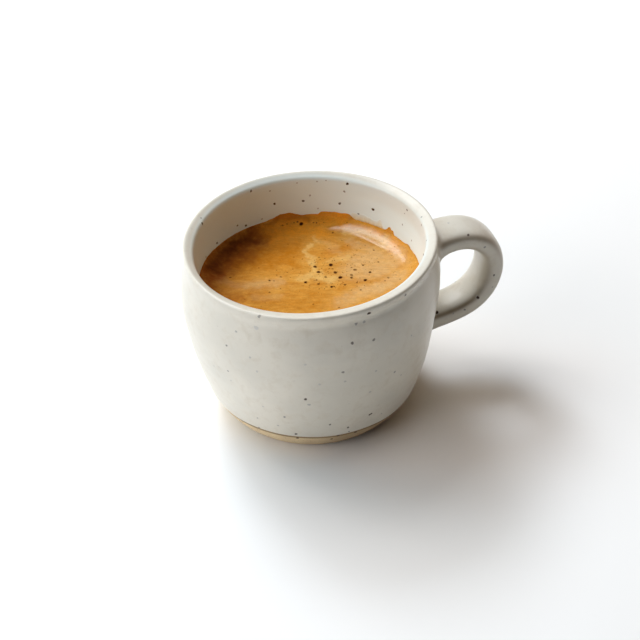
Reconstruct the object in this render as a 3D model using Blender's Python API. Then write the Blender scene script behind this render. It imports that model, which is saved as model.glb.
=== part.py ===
"""A double espresso with its crema, in the hand-thrown stoneware cup that holds it.

Metres, +Z up. The origin is the centre of the flat, unglazed foot, on the table.
The strap handle stands on the +X side of the cup.
"""

import math

import bmesh
import bpy
import numpy as np

MM = 0.001

# Cup body
CUP_HEIGHT = 51.0 * MM
RIM_RADIUS = 33.0 * MM
LIP_THICKNESS = 3.0 * MM
FLOOR_THICKNESS = 6.2 * MM
# The outer wall from foot to lip as (radius, height): a round foot edge, a full
# belly at two thirds of the height and a soft neck under the lip
OUTER_WALL = np.array([
    (20.8, 0.0),
    (23.6, 0.5),
    (25.5, 1.9),
    (27.8, 5.1),
    (29.6, 10.2),
    (31.4, 17.0),
    (33.0, 25.5),
    (34.0, 35.5),
    (33.7, 42.5),
    (33.1, 46.5),
    (33.0, 49.5),
]) * MM
# The inner wall from lip to floor centre, nearly straight above the drink
INNER_WALL = np.array([
    (30.0, 49.5),
    (29.7, 44.0),
    (29.2, 38.4),
    (28.7, 31.0),
    (27.2, 20.0),
    (24.3, 12.0),
    (18.5, 7.6),
    (10.0, 6.4),
    (0.0, 6.2),
]) * MM

# What the thrower's hands left: (lobes round the cup, size, direction of the peak), with
# the share of the height above which the rim's lift and the wall's sway set in
LIFT_FROM = 0.35
SWAY_FROM = 0.1
RIM_LIFT = ((1, 0.22 * MM, -21.0), (2, 0.25 * MM, -66.0))
WALL_SWAY = ((1, 0.18 * MM, -82.0), (2, 0.60 * MM, 23.0), (3, 0.22 * MM, 13.0))
BELLY_SWAY = ((1, 0.36 * MM, 171.0), (2, 0.60 * MM, -61.0))

# Strap handle: its centre line in the XZ plane as (x, z), from the upper joint to the
# lower one, and its section at those two ends
HANDLE_ROUTE = np.array([
    (31.5, 38.7),
    (34.7, 42.4),
    (44.7, 42.4),
    (50.6, 33.6),
    (45.9, 22.2),
    (30.6, 17.6),
]) * MM
STRAP_WIDTH = (12.5 * MM, 10.4 * MM)
STRAP_THICKNESS = (6.0 * MM, 6.5 * MM)
STRAP_SQUARENESS = 2.8
# Where the strap is pressed on to the wall it spreads by this much, fading with distance,
# and its last sections lean over until they lie along the wall
FLARE_WIDTH = 1.2 * MM
FLARE_THICKNESS = 0.8 * MM
FLARE_REACH = 2.5 * MM
LEAN_REACH = 9.0 * MM

# Drink: a level surface that climbs the wall by the rise, fading inwards over the reach
CREMA_LEVEL = 37.7 * MM
CREMA_DEPTH = 3.2 * MM
MENISCUS_RISE = 0.7 * MM
MENISCUS_REACH = 1.1 * MM
MENISCUS_RINGS = (0.4, 0.8, 1.3, 2.0, 3.0, 5.0)
WALL_GAP = 0.3 * MM
# Below this height the inner wall turns in towards the floor
BOWL_TURN = 17.0 * MM

# Mesh fineness
CUP_SEGMENTS = 64
WALL_STATIONS = 20
LIP_STEPS = 6
DRINK_SEGMENTS = 40
STRAP_STATIONS = 30
STRAP_SIDES = 16

# Base colour and roughness of each material
FINISHES = {
    "satin_stoneware": ((0.68, 0.65, 0.60), 0.38),
    "espresso_coffee": ((0.035, 0.012, 0.004), 0.08),
    "crema_foam": ((0.60, 0.29, 0.075), 0.35),
}


def clear_scene():
    """Removes whatever the open file holds."""
    for item in list(bpy.data.objects):
        bpy.data.objects.remove(item, do_unlink=True)


def plain_material(name):
    """A Principled BSDF with the colour and roughness listed for that name."""
    colour, roughness = FINISHES[name]
    material = bpy.data.materials.new(name)
    material.use_nodes = True
    shader = material.node_tree.nodes["Principled BSDF"]
    shader.inputs["Base Color"].default_value = (*colour, 1.0)
    shader.inputs["Roughness"].default_value = roughness
    shader.inputs["Metallic"].default_value = 0.0
    return material


def smooth_curve(stations, count):
    """Natural cubic spline through the stations, its parameter the root of the chord lengths.

    The second derivatives m solve the usual three-term system, with m = 0 at both ends.
    """
    chords = np.linalg.norm(np.diff(stations, axis=0), axis=1)
    step = np.sqrt(chords)
    knots = np.concatenate([[0.0], np.cumsum(step)])
    size = len(stations)
    system = np.eye(size)
    slopes = np.diff(stations, axis=0) / step[:, None]
    known = np.zeros_like(stations)
    for i in range(1, size - 1):
        system[i, i - 1:i + 2] = (step[i - 1], 2.0 * (step[i - 1] + step[i]), step[i])
        known[i] = 6.0 * (slopes[i] - slopes[i - 1])
    bend = np.linalg.solve(system, known)
    t = np.linspace(0.0, knots[-1], count)
    i = np.clip(np.searchsorted(knots, t, side="right") - 1, 0, size - 2)
    h = step[i, None]
    ahead = (t - knots[i])[:, None]
    behind = h - ahead
    cubic = (bend[i] * behind ** 3 + bend[i + 1] * ahead ** 3) / (6.0 * h)
    straight = (stations[i] / h - bend[i] * h / 6.0) * behind
    return cubic + straight + (stations[i + 1] / h - bend[i + 1] * h / 6.0) * ahead


def ease(t):
    """Smooth step from 0 to 1."""
    t = np.clip(t, 0.0, 1.0)
    return t * t * (3.0 - 2.0 * t)


def lobes(terms, azimuth):
    """Sum of cosines round the cup."""
    return sum(size * np.cos(count * (azimuth - math.radians(peak))) for count, size, peak in terms)


def uneven(radius, height, azimuth):
    """Moves a turned point as the thrower left it: the rim rises and sways, the belly leans."""
    share = np.clip(height / CUP_HEIGHT, 0.0, 1.0)
    lift = ease((share - LIFT_FROM) / (1.0 - LIFT_FROM)) * lobes(RIM_LIFT, azimuth)
    sway = ease((share - SWAY_FROM) / (1.0 - SWAY_FROM)) * lobes(WALL_SWAY, azimuth)
    lean = np.sin(math.pi * share) ** 2 * lobes(BELLY_SWAY, azimuth)
    return radius + sway + lean, height + lift


def turned_rings(profile, segments, shape):
    """Rings of points about +Z, one for each (radius, height) of the profile."""
    azimuth = np.linspace(0.0, 2.0 * math.pi, segments, endpoint=False)[None, :]
    radius, height = shape(profile[:, 0, None], profile[:, 1, None], azimuth)
    height = height + 0.0 * azimuth
    return np.stack([radius * np.cos(azimuth), radius * np.sin(azimuth), height], axis=-1)


def closed_skin(name, rings, start, end):
    """A mesh over the rings, closed at both ends with a fan about a pole."""
    count, sides = rings.shape[:2]
    points = [tuple(p) for p in rings.reshape(-1, 3)]
    points += [tuple(start), tuple(end)]
    start_pole = count * sides
    end_pole = start_pole + 1
    faces = []
    for j in range(sides):
        k = (j + 1) % sides
        faces.append((start_pole, k, j))
        for i in range(count - 1):
            faces.append((i * sides + j, i * sides + k, (i + 1) * sides + k, (i + 1) * sides + j))
        top = (count - 1) * sides
        faces.append((top + j, top + k, end_pole))
    mesh = bpy.data.meshes.new(name)
    mesh.from_pydata(points, [], faces)
    work = bmesh.new()
    work.from_mesh(mesh)
    bmesh.ops.recalc_face_normals(work, faces=work.faces)
    bmesh.ops.triangulate(work, faces=[f for f in work.faces if len(f.verts) > 3])
    work.to_mesh(mesh)
    work.free()
    return mesh


def add_object(name, mesh, material):
    """Puts a mesh into the scene as one smooth-shaded object."""
    mesh.shade_smooth()
    item = bpy.data.objects.new(name, mesh)
    item.data.materials.append(material)
    bpy.context.scene.collection.objects.link(item)
    return item


def lip_arc(steps):
    """Half circle over the rim, from the outer wall to the inner wall."""
    turn = np.linspace(0.0, math.pi, steps + 2)[1:-1]
    half = LIP_THICKNESS / 2.0
    middle = RIM_RADIUS - half
    return np.stack([middle + half * np.cos(turn), CUP_HEIGHT - half + half * np.sin(turn)], axis=1)


def outer_wall():
    return smooth_curve(OUTER_WALL, WALL_STATIONS)


def inner_wall():
    return smooth_curve(INNER_WALL, WALL_STATIONS)


def cup_body(material):
    """Foot, wall, lip and floor as one turned and slightly uneven body."""
    profile = np.vstack([outer_wall(), lip_arc(LIP_STEPS), inner_wall()[:-1]])
    rings = turned_rings(profile, CUP_SEGMENTS, uneven)
    floor_centre = (0.0, 0.0, FLOOR_THICKNESS)
    mesh = closed_skin("cup", rings, (0.0, 0.0, 0.0), floor_centre)
    return add_object("cup", mesh, material)


def wall_clearance(route):
    """How far each point of the strap's centre line stands off the outer wall."""
    wall = outer_wall()
    return route[:, 0] - np.interp(route[:, 1], wall[:, 1], wall[:, 0])


def strap_directions(route):
    """The direction through the strap: square to the route, leaning to upright at the wall.

    Each section slides along the route until, at the wall, all of it has the same x.
    """
    along = np.gradient(route, axis=0)
    along /= np.linalg.norm(along, axis=1, keepdims=True)
    square = np.stack([-along[:, 1], along[:, 0]], axis=1)
    near = ease(1.0 - wall_clearance(route) / LEAN_REACH)
    steep = np.where(near > 0.0, along[:, 0], 1.0)
    return square - (near * square[:, 0] / steep)[:, None] * along


def handle_strap(material):
    """Pulled strap: a superellipse section that tapers along the route and flares at the wall."""
    route = smooth_curve(HANDLE_ROUTE, STRAP_STATIONS)
    flare = np.exp(-np.clip(wall_clearance(route), 0.0, None) / FLARE_REACH)
    share = np.linspace(0.0, 1.0, STRAP_STATIONS)
    half_width = (np.interp(share, (0.0, 1.0), STRAP_WIDTH) + FLARE_WIDTH * flare) / 2.0
    half_thick = (np.interp(share, (0.0, 1.0), STRAP_THICKNESS) + FLARE_THICKNESS * flare) / 2.0
    inward = strap_directions(route) * half_thick[:, None]
    turn = np.linspace(0.0, 2.0 * math.pi, STRAP_SIDES, endpoint=False)
    power = 2.0 / STRAP_SQUARENESS
    across = np.sign(np.cos(turn)) * np.abs(np.cos(turn)) ** power
    through = np.sign(np.sin(turn)) * np.abs(np.sin(turn)) ** power
    rings = np.stack([
        route[:, 0, None] + np.outer(inward[:, 0], through),
        np.outer(half_width, across),
        route[:, 1, None] + np.outer(inward[:, 1], through),
    ], axis=-1)
    mesh = closed_skin("handle_blank", rings, rings[0].mean(axis=0), rings[-1].mean(axis=0))
    return add_object("handle_blank", mesh, material)


def join_handle(body, strap):
    """Fuses the strap to the body, which become one piece of clay."""
    strap.hide_render = True
    strap.display_type = "WIRE"
    union = body.modifiers.new("join_handle", "BOOLEAN")
    union.operation = "UNION"
    union.solver = "EXACT"
    union.object = strap


def drink_wall(bottom, top, steps):
    """The inner wall between two heights, drawn in by the gap between drink and clay."""
    wall = inner_wall()[::-1]
    heights = np.linspace(bottom, top, steps)
    return np.stack([np.interp(heights, wall[:, 1], wall[:, 0]) - WALL_GAP, heights], axis=1)


def wall_side_only(radius, height, azimuth):
    """The cup's sway and lean, without the rim's lift: a drink stays level."""
    return uneven(radius, height, azimuth)[0], height


def espresso(material):
    """The liquid below the crema, down to the floor of the cup."""
    top = CREMA_LEVEL - CREMA_DEPTH
    floor = inner_wall()[-2:0:-1]
    bowl = floor[floor[:, 1] < BOWL_TURN] + np.array([-WALL_GAP, WALL_GAP])
    profile = np.vstack([bowl, drink_wall(BOWL_TURN + WALL_GAP, top, 4)])
    rings = turned_rings(profile, DRINK_SEGMENTS, wall_side_only)
    bottom_pole = (0.0, 0.0, FLOOR_THICKNESS + WALL_GAP)
    mesh = closed_skin("espresso", rings, bottom_pole, (0.0, 0.0, top))
    return add_object("espresso", mesh, material)


def crema(material):
    """The foam layer: flat underneath, level on top, with a meniscus round its edge."""
    bottom = CREMA_LEVEL - CREMA_DEPTH + WALL_GAP
    side = drink_wall(bottom, CREMA_LEVEL + MENISCUS_RISE, 3)
    inward = MENISCUS_REACH * np.array(MENISCUS_RINGS)
    climb = MENISCUS_RISE * np.exp(-inward / MENISCUS_REACH)
    shoulder = np.stack([side[-1, 0] - inward, CREMA_LEVEL + climb], axis=1)
    rings = turned_rings(np.vstack([side, shoulder]), DRINK_SEGMENTS, wall_side_only)
    mesh = closed_skin("crema", rings, (0.0, 0.0, bottom), (0.0, 0.0, CREMA_LEVEL))
    return add_object("crema", mesh, material)


def build():
    clear_scene()
    stoneware = plain_material("satin_stoneware")
    join_handle(cup_body(stoneware), handle_strap(stoneware))
    espresso(plain_material("espresso_coffee"))
    crema(plain_material("crema_foam"))


build()
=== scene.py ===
"""The looks of an espresso shot with its crema, in the hand-thrown stoneware cup that holds it.

The surface functions work in millimetres in the CAD frame: +Z up, the centre of the foot at
the origin and the handle towards +X. A mesh is scaled to metres as it is made.
"""

import math

import bpy
import numpy as np
from mathutils import Matrix, Vector
from mathutils.bvhtree import BVHTree
from mathutils.kdtree import KDTree


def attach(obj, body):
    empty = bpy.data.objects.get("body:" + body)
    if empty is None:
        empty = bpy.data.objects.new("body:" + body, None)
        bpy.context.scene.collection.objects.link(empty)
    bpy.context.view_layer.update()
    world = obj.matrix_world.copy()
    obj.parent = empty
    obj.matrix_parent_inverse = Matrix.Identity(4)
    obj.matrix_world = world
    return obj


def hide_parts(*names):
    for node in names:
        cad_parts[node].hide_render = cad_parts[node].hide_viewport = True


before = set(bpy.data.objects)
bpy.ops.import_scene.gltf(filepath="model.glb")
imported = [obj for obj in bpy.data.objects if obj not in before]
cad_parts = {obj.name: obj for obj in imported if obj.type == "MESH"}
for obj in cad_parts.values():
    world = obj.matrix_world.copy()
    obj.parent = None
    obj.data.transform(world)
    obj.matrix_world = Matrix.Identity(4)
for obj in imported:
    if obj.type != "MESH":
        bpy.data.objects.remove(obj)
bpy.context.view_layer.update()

MM = 0.001
# Points of a dense curve, and of the long one over the lip and down the lining
CURVE_POINTS = 900
LINING_POINTS = 1400

# Cup body, as the CAD turns it: (radius, height) of the outer wall from foot to lip, of the lip
# over its crest, rounder inside than outside, and of the inner wall from lip to floor
OUTER_WALL = np.array([
    (20.8, 0.0), (23.6, 0.5), (25.5, 1.9), (27.8, 5.1), (29.6, 10.2), (31.4, 17.0), (33.0, 25.5),
    (34.0, 35.5), (33.7, 42.5), (33.1, 46.5), (33.05, 49.8),
])
LIP = np.array([
    (33.05, 49.8), (33.02, 50.45), (32.75, 50.9), (32.3, 50.97), (31.6, 50.75), (30.9, 50.42),
    (30.35, 50.1), (29.98, 49.6), (29.84, 48.8), (29.78, 47.6),
])
INNER_WALL = np.array([
    (29.7, 44.0), (29.2, 38.4), (28.7, 31.0), (27.2, 20.0), (24.3, 12.0), (18.5, 7.6),
    (10.0, 6.4), (0.0, 6.2),
])
CUP_HEIGHT = 51.0
# The lip leans out in front and in at the back, outside and inside: (direction and half width
# in degrees, size in mm)
OUTER_FLARES = ((-106.0, 62.0, 0.32), (-62.0, 32.0, 0.75), (74.0, 80.0, -0.80))
INNER_FLARES = ((-66.0, 34.0, 0.48), (-108.0, 36.0, -0.5), (-168.0, 24.0, 0.55), (74.0, 80.0, -0.15))
OUTER_FLARE_FROM, OUTER_FLARE_REACH = 46.6, 3.2
INNER_FLARE_FROM, INNER_FLARE_REACH = 42.0, 8.0

# What the thrower's hands left, as in the CAD, from these shares of the height upwards: (lobes
# round the cup, size in mm, direction of the peak in degrees)
LIFT_FROM = 0.35
SWAY_FROM = 0.1
RIM_LIFT = ((1, 0.22, -21.0), (2, 0.25, -66.0))
WALL_SWAY = ((1, 0.18, -82.0), (2, 0.60, 23.0), (3, 0.22, 13.0))
BELLY_SWAY = ((1, 0.36, 171.0), (2, 0.60, -61.0))

# Glaze: it stops at a wavy line above the foot and stands proud of the clay there
GLAZE_LINE = 7.4
GLAZE_WAVES = ((1, 0.30, 150.0), (3, 0.14, 20.0), (7, 0.09, 75.0), (12, 0.05, 10.0))
GLAZE_THICKNESS = 0.30
GLAZE_BEAD = 0.55
# The clay is darker in a narrow toast line under the glaze's edge, and darker still, as painted
# shade, all over the side away from the lamps, between two cosines of the angle to it
TOAST_BELOW = 0.4
TOAST_REACH = 0.4
TOAST_DEPTH = 0.9
SHADED_SIDE_TOWARDS = -45.0
SHADED_SIDE_DEPTH = 0.45
SHADED_SIDE_FROM, SHADED_SIDE_TO = 0.3, 0.9
# The lining's cooler glaze begins this deep in mm behind the outer wall, and eases in
LINING_FROM = 1.8
LINING_REACH = 1.6
# Soft marks of the hands: long dents all over and a fine spiral of throwing ridges
DENT_COUNT = 9
DENT_SIZE = 0.045
RIDGE_PITCH = 3.4
RIDGE_SIZE = 0.022
# A groove that the finger drew under the lip, deepest towards the front right
NECK_HEIGHT = 47.3
NECK_REACH = 1.2
NECK_DEPTH = 0.36
NECK_TOWARDS = -62.0
# Foot: a standing ring round a shallow trimmed recess
FOOT_RING = 18.6
FOOT_RECESS = 0.35
# Fineness of the cup's mesh: columns round it, rings over the foot, the clay and the glazed
# wall, the bead's rings as shares of its width, and down the lining the number of the ring
# at each length in mm
CUP_COLUMNS = 320
FOOT_RINGS, CLAY_RINGS, WALL_RINGS = 15, 17, 73
BEAD_RINGS = (0.0, 0.03, 0.12, 0.28, 0.5, 0.75, 1.0)
LINING_RINGS = (0, 43, 66, 95)
LINING_LENGTHS = (0.0, 7.0, 20.0)

# Strap handle, as in the CAD
HANDLE_ROUTE = np.array([
    (31.5, 38.7), (34.7, 42.4), (44.7, 42.4), (50.6, 33.6), (45.9, 22.2), (30.6, 17.6),
])
STRAP_WIDTH = (12.5, 10.4)
STRAP_THICKNESS = (6.0, 6.5)
STRAP_SQUARENESS = 2.8
STRAP_STATIONS, STRAP_SIDES = 150, 56
FLARE_WIDTH = 1.2
FLARE_THICKNESS = 0.8
FLARE_REACH = 2.5
LEAN_REACH = 9.0
# The clay smoothed into the corner where the strap meets the wall
FILLET_RADIUS = 1.5
FILLET_SHARE = 0.7
SEAM_REACH = 1.3
SEAM_PASSES = 14
# The glaze runs thin on the strap's edges, and shade is painted into the fold beside them: (share of
# the route, depth of the brown), and the middle and half width of the brown in degrees round the section,
# from the side's middle
BREAK_SHADE_DEPTH = ((0.0, 0.6), (0.35, 0.5), (0.5, 0.15), (0.65, 0.25), (0.8, 0.75), (1.0, 0.75))
BREAK_SHADE_TURN = 28.0
BREAK_SHADE_REACH = 14.0

# Drink: the crema's level in the middle, and the height at which it meets the wall. Most of the
# difference is a bank as wide as BANK_WIDTH, the rest a last steep climb. CREMA_STEPS are the
# surface's rings by their distance from the wall, closest where it climbs.
CREMA_LEVEL = 35.9
CREMA_EDGE = 38.02
BANK_FADE = 9.0
BANK_WIDTH = 5.0
BANK_SOFTNESS = 0.35
WALL_CLIMB = 0.2
CLIMB_REACH = 0.25
CREMA_UNDERSIDE = 34.45
CREMA_COLUMNS = 640
CREMA_STEPS = np.concatenate([
    [0.15, 0.2, 0.27, 0.36, 0.48, 0.62, 0.8, 1.0, 1.25, 1.5, 1.8, 2.1, 2.5],
    np.arange(2.8, 6.6, 0.22), np.arange(6.8, 28.5, 0.36),
])
WALL_OVERLAP = 0.12
# Licks of crema that stayed on the wall: (direction in degrees, half width in degrees,
# height in mm, squareness of its top)
LICKS = (
    (87.0, 6.5, 1.35, 4.0), (71.0, 5.0, 0.55, 4.0), (59.0, 9.5, 1.4, 14.0), (26.0, 1.5, 1.6, 3.0),
    (23.6, 1.0, 1.1, 4.0), (9.5, 2.6, 0.75, 3.0), (-1.0, 7.0, 0.4, 4.0), (146.0, 7.0, 0.35, 4.0),
    (158.0, 5.0, 0.3, 4.0), (184.0, 6.0, 0.6, 4.0), (207.0, 3.0, 0.9, 2.0),
    (232.0, 9.0, 0.4, 4.0), (262.0, 5.0, 0.8, 3.0), (291.0, 7.0, 0.5, 4.0),
    (318.0, 4.0, 0.9, 3.0), (338.0, 6.0, 0.3, 4.0),
)
# The paler wash above them, left by the crema as it sank, between two directions in degrees,
# with crests as (direction, half width, height in mm)
WASH_FROM = 28.5
WASH_TO = 51.5
WASH_HEIGHT = 1.75
WASH_STATIONS = 90
WASH_CRESTS = ((44.0, 5.5, 0.35), (36.5, 2.6, -0.25), (32.6, 1.4, 0.85))

# The photograph's camera: it looks at a point on the cup's axis, which shows a little off
# the middle of the 640-pixel frame
FRAME_PIXELS = 640
FOCAL_PIXELS = 1561.0
TARGET = Vector((0.0, 0.0, 25.5))
TARGET_COLUMN = 311.5
TARGET_ROW = 315.0
VIEW_AZIMUTH = -16.1
VIEW_ELEVATION = 38.47
VIEW_DISTANCE = 419.0
VIEW_ROLL = 1.5
SENSOR_WIDTH = 36.0
PIXELS_PER_MM = 3.73

# Colours of the crema's marbling, in the order in which they are laid; the last two, rust and brown, are
# painted shadow of the wall
CREMA_TINTS = {
    "amber": "#b46d10", "tan": "#cca169", "pale": "#e0b970",
    "gold": "#ec9522", "shade_rust": "#8f4a10", "shadow_brown": "#582609",
}
# Strokes of each: (strength, half width in mm, route in the photograph's pixels)
MARBLING_AND_PAINTED_LIGHT = {
    "amber": (
        (0.95, 4.2, ((244, 262), (262, 255), (290, 250))),
        (0.90, 2.6, ((268, 264), (280, 258), (290, 262))),
        (0.75, 1.8, ((284, 242), (298, 245), (302, 254))),
        (0.85, 1.6, ((330, 252), (344, 249), (353, 245))),
        (0.55, 1.2, ((322, 256), (338, 256))),
        (0.50, 1.0, ((391, 256), (397, 268))),
        (0.55, 1.2, ((390, 278), (370, 282), (350, 282), (338, 290))),
        (0.30, 1.8, ((262, 302), (286, 305), (312, 306), (338, 303))),
        (0.22, 1.6, ((288, 292), (322, 292))),
    ),
    "tan": (
        (0.80, 3.8, ((358, 262), (374, 256), (388, 262), (376, 270), (354, 272))),
        (0.85, 2.4, ((366, 292), (384, 286), (398, 277))),
        (0.35, 1.8, ((396, 262), (402, 268), (400, 276))),
        (0.70, 2.2, ((340, 301), (364, 293))),
        (0.60, 1.6, ((240, 286), (258, 285), (280, 282))),
        (0.30, 1.4, ((258, 296), (280, 296))),
        (0.65, 1.8, ((348, 241), (366, 248), (386, 257))),
        (0.35, 1.5, ((326, 243), (346, 262))),
        (0.45, 1.2, ((216, 277), (226, 281), (238, 285))),
    ),
    "pale": (
        (0.65, 1.0, ((316, 238), (318, 241))),
        (0.60, 0.8, ((310, 245), (307, 251), (311, 258))),
        (0.60, 1.5, ((306, 279), (314, 275), (326, 279), (332, 277))),
        (0.60, 1.0, ((309, 261), (314, 267), (318, 273))),
        (0.35, 1.0, ((330, 262), (346, 258))),
        (0.30, 0.9, ((244, 286), (256, 285))),
        # Painted highlight: a pale band along the bank, under the window's real reflection
        (0.50, 1.2, ((346, 229), (364, 231), (381, 239), (387, 244))),
    ),
    "gold": (
        (0.75, 1.7, ((268, 228), (285, 222), (312, 219), (345, 219))),
        (0.85, 3.0, ((270, 237), (286, 232), (304, 230), (318, 232))),
        (0.40, 1.2, ((345, 219), (364, 223), (385, 232), (402, 245))),
    ),
    # Painted shade: the soft edge of the wall's shadow on the crema's left and front-left, and a thin
    # dark line along the back wall
    "shade_rust": (
        (0.95, 3.5, ((206, 278), (216, 268), (230, 256), (244, 244), (256, 236))),
        (0.55, 2.2, ((226, 272), (240, 262), (254, 250), (262, 244))),
        (0.60, 2.0, ((208, 284), (222, 293), (240, 301))),
        (0.38, 4.0, ((222, 284), (236, 289), (250, 294))),
        (0.60, 1.2, ((202, 272), (207, 259), (218, 247), (232, 237), (248, 229))),
        (0.55, 0.7, ((266, 224), (280, 218), (294, 216), (308, 217))),
    ),
    # Painted shadow: the deepest part of the wall's shadow on the crema's left and back-left
    "shadow_brown": (
        (0.74, 2.0, ((213, 268), (218, 261), (226, 253), (236, 245), (246, 239))),
        (0.30, 1.4, ((246, 239), (254, 233))),
        (0.36, 1.4, ((205, 266), (211, 256), (222, 246), (236, 237))),
    ),
}
# The wet skin on the bank, where the foam has drained, in strokes as above
WET_SKIN = (
    (1.0, 0.95, ((346, 228), (358, 229.5), (370, 233), (381, 238.5), (390.5, 245), (396.5, 251.5))),
    (0.75, 0.5, ((332, 227.5), (346, 228), (396.5, 251.5), (402, 257), (405, 262))),
)
# Bubbles that popped in the crema: (column, row, radius in pixels, depth of its brown)
POPPED_BUBBLES = (
    (315, 266.8, 1.9, 0.9), (318.5, 272.1, 1.8, 1), (330.8, 265, 2.2, 1), (335.3, 272.5, 1.9, 0.85),
    (340.3, 277.5, 2.1, 1), (351.5, 275, 1.5, 0.6), (351.5, 277.8, 1.4, 0.8), (365.3, 280.1, 1.8, 1),
    (370, 272.3, 1.5, 0.9), (363, 265.3, 1.2, 0.7), (355, 269.8, 1.7, 0.6), (378.4, 262, 1, 0.6),
    (373.8, 250.3, 1, 0.6), (305.6, 282.3, 1.6, 1), (318.5, 284, 1.3, 0.8), (331.6, 286.9, 1.5, 1),
    (334.2, 286.5, 1, 0.7), (325.6, 277.1, 1.5, 0.45), (316.5, 280.1, 1.2, 0.45),
    (345, 284.8, 1.3, 0.65), (357, 282.6, 0.9, 0.6), (360.8, 290, 1, 0.7), (351.5, 290.1, 0.8, 0.35),
    (351.5, 267.5, 0.9, 0.6), (351.5, 257.6, 0.7, 0.45), (324.8, 258.5, 0.7, 0.45),
    (319, 257.5, 1, 0.35), (332.5, 268.8, 1, 0.4), (342.3, 259.5, 0.7, 0.4), (310, 271.8, 0.8, 0.35),
    (319.3, 288.9, 0.8, 0.4), (313.3, 304.3, 0.9, 0.5), (339, 307.6, 0.9, 0.55),
    (388.3, 277.8, 1.3, 0.4), (385, 280.8, 0.9, 0.4), (400, 279.3, 0.8, 0.4), (301.3, 223.9, 2, 1),
    (297.5, 221.9, 1, 0.7), (294, 222.8, 0.8, 0.6), (282.5, 225.5, 1, 0.6), (287, 224, 0.8, 0.5),
    (316.5, 222.8, 0.9, 0.6), (313.5, 222.6, 0.8, 0.5), (323.8, 222.5, 0.7, 0.4),
    (347, 222.5, 0.7, 0.4), (269.5, 280.5, 1.2, 0.75), (274, 281, 0.8, 0.5), (280.8, 277, 1, 0.55),
    (276.8, 275.3, 0.7, 0.4), (287.3, 272.5, 0.7, 0.4), (280.5, 288.6, 0.7, 0.5),
    (269.5, 292.3, 1, 0.6), (230.3, 277.5, 1.2, 0.5), (258.8, 267.8, 0.7, 0.4), (332.8, 232.6, 1, 0.6),
    (360, 278, 0.6, 0.4), (343, 282.3, 0.7, 0.45),
)
# Pinholes too small to place one by one: the middle of their cloud in pixels, its half width
# in mm along X and Y, their number, and how upright the foam's normal is where they open
PINHOLES_ABOUT = (340, 270)
PINHOLE_SPREAD = (9.0, 5.5)
PINHOLE_COUNT = 170
PINHOLE_UPRIGHT = 0.9
# Noise that pushes the marbling about, that mottles it, and that makes the foam's surface and
# its licks uneven: (size, pitch, seed), the licks' pitches in degrees and the others in mm
PUSH_X = ((0.9, 3.7, 41), (0.75, 1.5, 42), (0.45, 0.7, 43))
PUSH_Y = ((0.8, 3.7, 44), (0.50, 1.5, 45), (0.30, 0.7, 46))
MOTTLE = ((0.2, 1.1, 47), (0.12, 0.5, 48))
SWELL = ((0.010, 4.0, 31), (0.002, 1.5, 32))
RAGGED = ((0.09, 360.0 / 128.0, 5), (0.05, 360.0 / 320.0, 6))
# Whole bubbles drawn at random along the wall, and how upright the normal is where they stay
FROTH_COUNT = 420
FROTH_UPRIGHT = 0.7
# Specks drawn at random on the sides that the photograph hides: on the back of the wall and
# the near side of the lining, as (number, arc in degrees, heights in mm, distance from the
# axis at which a ray sets out), and on the handle's far side
HIDDEN_WALLS = ((70, (8.0, 158.0), (3.0, 50.0), 60.0), (26, (190.0, 350.0), (39.5, 48.5), 0.0))
HANDLE_SPECKS = 12
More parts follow.
